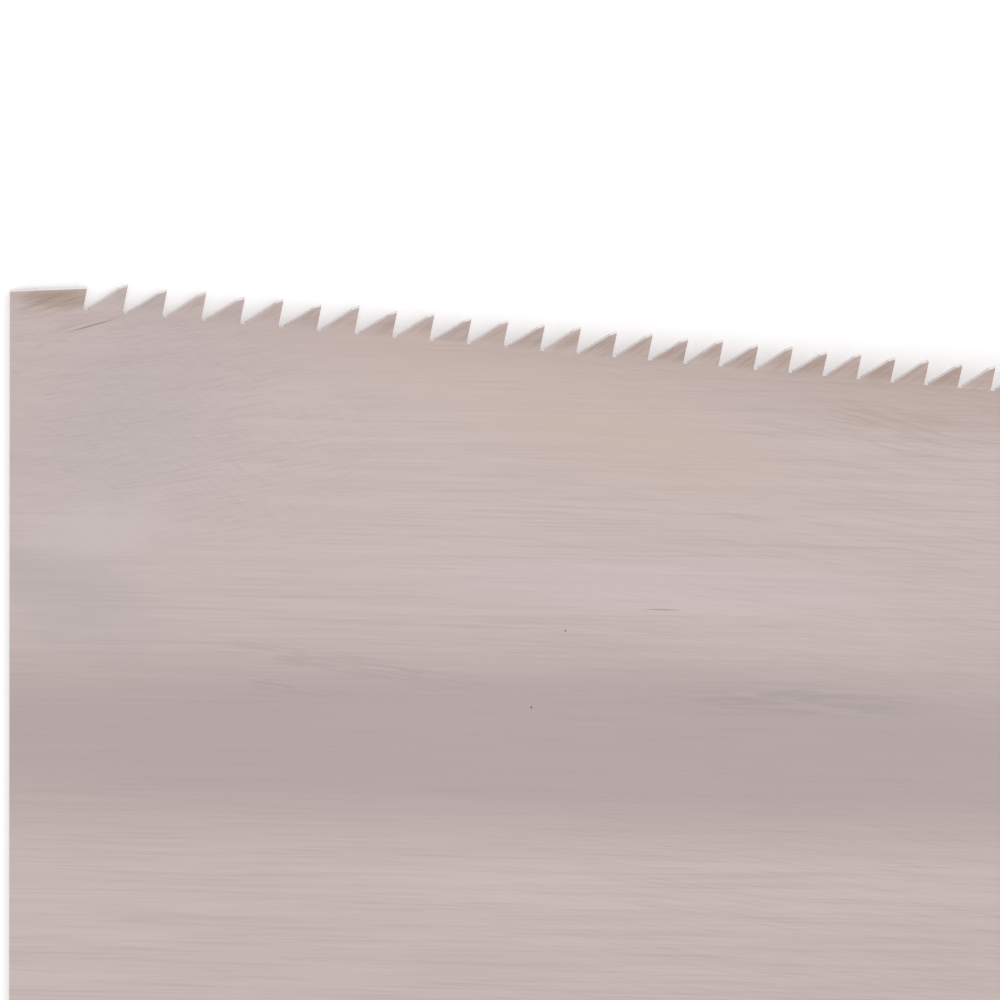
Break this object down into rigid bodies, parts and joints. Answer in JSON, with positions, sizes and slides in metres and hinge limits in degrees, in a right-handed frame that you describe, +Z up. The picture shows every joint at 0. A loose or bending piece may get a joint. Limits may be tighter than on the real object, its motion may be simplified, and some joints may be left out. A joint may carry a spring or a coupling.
{
  "type": "ryoba saw",
  "caption": "Double-edged Japanese pull saw: a tapering plate with rip teeth on one edge and crosscut teeth on the other, iron neck and tang, and a split wooden handle bound with cane.",
  "frame": {"origin": "centre of the saw's outline seen from above, at the height of the underside of the handle", "axes": "+X from the toe to the butt of the handle, +Y towards the rip edge, +Z up, square to the blade"},
  "size_m": [0.6292, 0.1014, 0.027],
  "materials": {
    "plate_steel": "hand-scraped bright steel with fine scratches and a warm grey tone",
    "forged_iron": "dark forge scale, rubbed brighter on the corners",
    "handle_wood": "planed pale straight-grained softwood, lightly darkened by hands",
    "cane": "split cane, smooth and slightly glossy, aged to a warm brown"
  },
  "bodies": {
    "handle": {"handle_upper_half": "handle_wood", "handle_lower_half": "handle_wood", "cane_binding": "cane"},
    "blade": {"saw_plate": "plate_steel", "neck_and_tang": "forged_iron"}
  },
  "joints": [
    {"name": "blade_draw", "type": "slide", "parent": "handle", "child": "blade", "axis": [-1, 0, 0], "range_m": [0, 0.13]}
  ]
}
